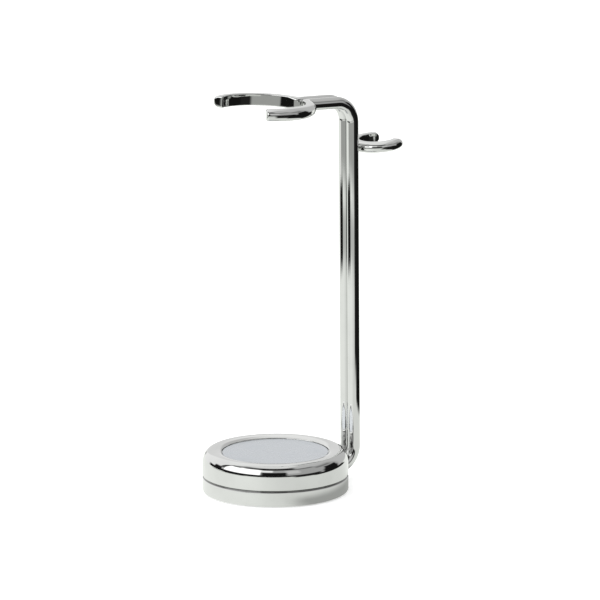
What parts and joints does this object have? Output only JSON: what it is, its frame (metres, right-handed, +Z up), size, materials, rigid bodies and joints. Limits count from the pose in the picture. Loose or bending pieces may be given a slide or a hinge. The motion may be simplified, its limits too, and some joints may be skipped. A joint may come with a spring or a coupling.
{
  "type": "shaving brush and razor stand",
  "caption": "Chrome stand with a weighted round base, twin bent rods, an open ring for a shaving brush and a small fork for a razor.",
  "frame": {"origin": "centre of the round base's underside, where the stand rests", "axes": "+Z up along the base's axis; the brush ring opens towards -Y, the rods and the razor fork are towards +Y, and X runs from one rod to the other"},
  "size_m": [0.055, 0.0813, 0.1508],
  "materials": {
    "chrome": "mirror-polished chrome plate",
    "satin_chrome": "satin chrome plate",
    "cast_iron": "rough casting",
    "zinc_steel": "zinc-plated steel",
    "black_foam": "matt closed-cell pad"
  },
  "bodies": {
    "root": {"base_shell": "chrome", "top_inlay": "satin_chrome", "weight_slug": "cast_iron", "closing_plate": "zinc_steel", "plate_screw_1": "zinc_steel", "plate_screw_2": "zinc_steel", "plate_screw_3": "zinc_steel", "foot_pad": "black_foam", "rod_left": "chrome", "rod_right": "chrome", "razor_fork": "chrome"}
  },
  "joints": []
}
